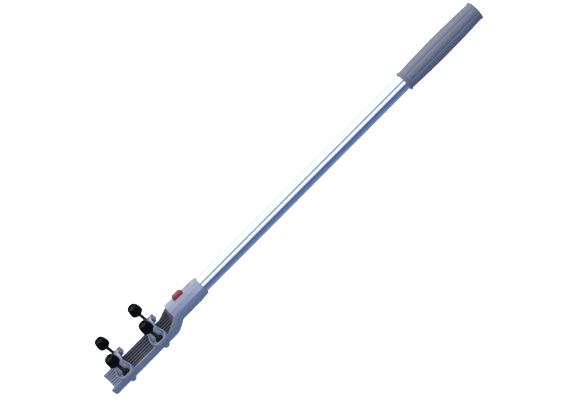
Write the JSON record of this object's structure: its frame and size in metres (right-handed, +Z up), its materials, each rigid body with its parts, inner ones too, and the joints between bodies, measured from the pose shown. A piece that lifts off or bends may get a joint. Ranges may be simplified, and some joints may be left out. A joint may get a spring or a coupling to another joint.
{
  "type": "outboard tiller extension handle",
  "caption": "Straight extension handle: a lined half-pipe cradle with screw-down saddles clamps on a motor tiller and carries a latched tube with a soft grip.",
  "frame": {"origin": "on the axis of the clamped tiller, at the middle of the cradle's length", "axes": "+X along the tube to the grip, +Z up out of the open cradle, the way the thumb-screws come out"},
  "size_m": [0.7445, 0.0712, 0.0677],
  "materials": {
    "grey_moulding": "fine-grained moulded nylon",
    "ribbed_rubber": "matt, ribbed lengthwise",
    "insert_brass": "machined",
    "knob_plastic": "satin moulded black",
    "collar_plastic": "smooth black",
    "screw_steel": "dark plated steel",
    "tube_aluminium": "bright drawn and anodised",
    "grip_vinyl": "soft vinyl, fluted lengthwise",
    "red_plug": "moulded",
    "red_button": "moulded",
    "spring_steel": "drawn wire"
  },
  "bodies": {
    "handle": {"cradle_body": "grey_moulding", "tiller_liner": "ribbed_rubber", "threaded_inserts": "insert_brass", "handle_tube": "tube_aluminium", "hand_grip": "grip_vinyl", "latch_plug": "red_plug", "latch_spring": "spring_steel"},
    "button": {"latch_button": "red_button"},
    "open_end_clamp": {"open_end_saddle": "grey_moulding"},
    "socket_end_clamp": {"socket_end_saddle": "grey_moulding"},
    "open_end_right_screw": {"open_end_right_knob": "knob_plastic", "open_end_right_stud": "screw_steel", "open_end_right_collar": "collar_plastic", "open_end_right_clip": "screw_steel"},
    "open_end_left_screw": {"open_end_left_knob": "knob_plastic", "open_end_left_stud": "screw_steel", "open_end_left_collar": "collar_plastic", "open_end_left_clip": "screw_steel"},
    "socket_end_right_screw": {"socket_end_right_knob": "knob_plastic", "socket_end_right_stud": "screw_steel", "socket_end_right_collar": "collar_plastic", "socket_end_right_clip": "screw_steel"},
    "socket_end_left_screw": {"socket_end_left_knob": "knob_plastic", "socket_end_left_stud": "screw_steel", "socket_end_left_collar": "collar_plastic", "socket_end_left_clip": "screw_steel"}
  },
  "joints": [
    {"name": "button_press", "type": "slide", "parent": "handle", "child": "button", "axis": [0, 0, -1], "range_m": [0, 0.009], "stiffness_N_per_m": 400, "springref_m": -0.004, "deforming": ["latch_spring"]},
    {"name": "open_end_saddle_lift", "type": "slide", "parent": "handle", "child": "open_end_clamp", "axis": [0, 0, 1], "range_m": [-0.003, 0.003]},
    {"name": "open_end_right_screw_turn", "type": "hinge", "parent": "open_end_clamp", "child": "open_end_right_screw", "pos_m": [-0.033, -0.026, 0], "axis": [0, 0, 1], "range_deg": [-1355, 1355]},
    {"name": "open_end_left_screw_turn", "type": "hinge", "parent": "open_end_clamp", "child": "open_end_left_screw", "pos_m": [-0.033, 0.026, 0], "axis": [0, 0, 1], "range_deg": [-1355, 1355]},
    {"name": "socket_end_saddle_lift", "type": "slide", "parent": "handle", "child": "socket_end_clamp", "axis": [0, 0, 1], "range_m": [-0.003, 0.003]},
    {"name": "socket_end_right_screw_turn", "type": "hinge", "parent": "socket_end_clamp", "child": "socket_end_right_screw", "pos_m": [0.033, -0.026, 0], "axis": [0, 0, 1], "range_deg": [-1355, 1355]},
    {"name": "socket_end_left_screw_turn", "type": "hinge", "parent": "socket_end_clamp", "child": "socket_end_left_screw", "pos_m": [0.033, 0.026, 0], "axis": [0, 0, 1], "range_deg": [-1355, 1355]}
  ],
  "couplings": [
    {"joint": "open_end_right_screw_turn", "follows": "open_end_saddle_lift", "rad_per_m": 7854},
    {"joint": "open_end_left_screw_turn", "follows": "open_end_saddle_lift", "rad_per_m": 7854},
    {"joint": "socket_end_right_screw_turn", "follows": "socket_end_saddle_lift", "rad_per_m": 7854},
    {"joint": "socket_end_left_screw_turn", "follows": "socket_end_saddle_lift", "rad_per_m": 7854}
  ]
}
